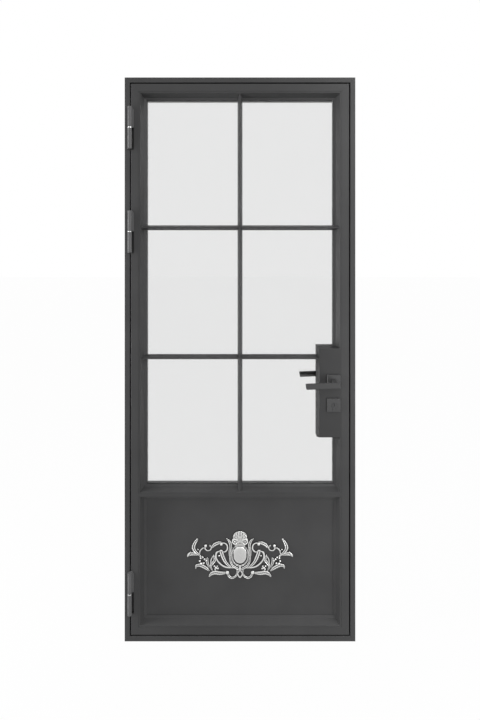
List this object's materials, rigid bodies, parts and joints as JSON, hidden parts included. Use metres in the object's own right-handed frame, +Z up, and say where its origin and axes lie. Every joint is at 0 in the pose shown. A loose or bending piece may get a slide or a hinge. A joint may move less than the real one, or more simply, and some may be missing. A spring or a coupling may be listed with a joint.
{
  "type": "glazed steel door with frame",
  "caption": "Steel-framed entrance door in its frame, with barred double glazing, a kick panel with a cast scrollwork ornament, lever handles and a mortice lock.",
  "frame": {"origin": "centre of the sill's underside, midway through the frame's depth", "axes": "+X to the right seen from the front, +Y away from the viewer through the door, +Z up"},
  "size_m": [0.9, 0.183, 2.2],
  "materials": {
    "frame_paint": "satin anthracite",
    "leaf_paint": "satin anthracite",
    "box_paint": "satin anthracite",
    "hinge_steel": "satin dark grey",
    "washer_steel": "bright turned",
    "hardware": "satin black",
    "lock_steel": "zinc plated",
    "glass": "clear float",
    "gasket": "matt black",
    "spacer": "dark anodised",
    "core": "rigid foam",
    "ornament_silver": "antique cast silver finish"
  },
  "bodies": {
    "frame": {"jamb_hinge_side": "frame_paint", "jamb_lock_side": "frame_paint", "frame_head": "frame_paint", "frame_sill": "frame_paint", "frame_seal": "gasket", "strike_plate": "lock_steel", "strike_screws": "lock_steel", "hinge_pins": "lock_steel", "hinge_washers": "washer_steel", "hinge_bottom_frame_barrel": "hinge_steel", "hinge_middle_frame_barrel": "hinge_steel", "hinge_top_frame_barrel": "hinge_steel"},
    "leaf": {"stile_hinge_side": "leaf_paint", "stile_lock_side": "leaf_paint", "top_rail": "leaf_paint", "mid_rail": "leaf_paint", "bottom_rail": "leaf_paint", "lock_box": "box_paint", "lock_box_cover": "box_paint", "glass_outer": "glass", "glass_inner": "glass", "glass_spacer": "spacer", "gasket_front": "gasket", "gasket_back": "gasket", "bead_top": "leaf_paint", "bead_bottom": "leaf_paint", "bead_hinge_side": "leaf_paint", "bead_lock_side_upper": "leaf_paint", "bead_lock_side_lower": "leaf_paint", "bar_front_upright": "leaf_paint", "bar_front_upper": "leaf_paint", "bar_front_lower": "leaf_paint", "bar_back_upright": "leaf_paint", "bar_back_upper": "leaf_paint", "bar_back_lower": "leaf_paint", "kick_panel_front": "leaf_paint", "kick_panel_core": "core", "kick_panel_back": "leaf_paint", "ornament": "ornament_silver", "hinge_bottom_leaf_barrel": "hinge_steel", "hinge_middle_leaf_barrel": "hinge_steel", "hinge_top_leaf_barrel": "hinge_steel", "lock_case": "lock_steel", "lock_faceplate": "lock_steel", "faceplate_screws": "lock_steel", "cylinder_body": "hardware", "rose_front": "hardware", "rose_back": "hardware", "escutcheon_front": "hardware", "escutcheon_back": "hardware"},
    "handle": {"lever_front": "hardware", "lever_back": "hardware", "spindle": "lock_steel", "follower": "lock_steel"},
    "latch": {"latch_bolt": "lock_steel"},
    "deadbolt": {"deadbolt": "lock_steel"},
    "cylinder_core": {"cylinder_plug_front": "hardware", "cylinder_plug_back": "hardware"}
  },
  "joints": [
    {"name": "leaf_swing", "type": "hinge", "parent": "frame", "child": "leaf", "pos_m": [-0.4275, -0.059, 1.1], "axis": [0, 0, -1], "range_deg": [0, 170]},
    {"name": "lever_turn", "type": "hinge", "parent": "leaf", "child": "handle", "pos_m": [0.365, -0.02, 1.0155], "axis": [0, -1, 0], "range_deg": [0, 40], "stiffness_Nm_per_rad": 1.2, "springref_deg": -34.38},
    {"name": "latch_slide", "type": "slide", "parent": "leaf", "child": "latch", "axis": [1, 0, 0], "range_m": [0, 0.012]},
    {"name": "key_turn", "type": "hinge", "parent": "leaf", "child": "cylinder_core", "pos_m": [0.365, -0.02, 0.9235], "axis": [0, -1, 0], "range_deg": [0, 360]},
    {"name": "deadbolt_throw", "type": "slide", "parent": "leaf", "child": "deadbolt", "axis": [1, 0, 0], "range_m": [0, 0.018]}
  ],
  "couplings": [
    {"joint": "key_turn", "follows": "deadbolt_throw", "rad_per_m": 349.07}
  ]
}
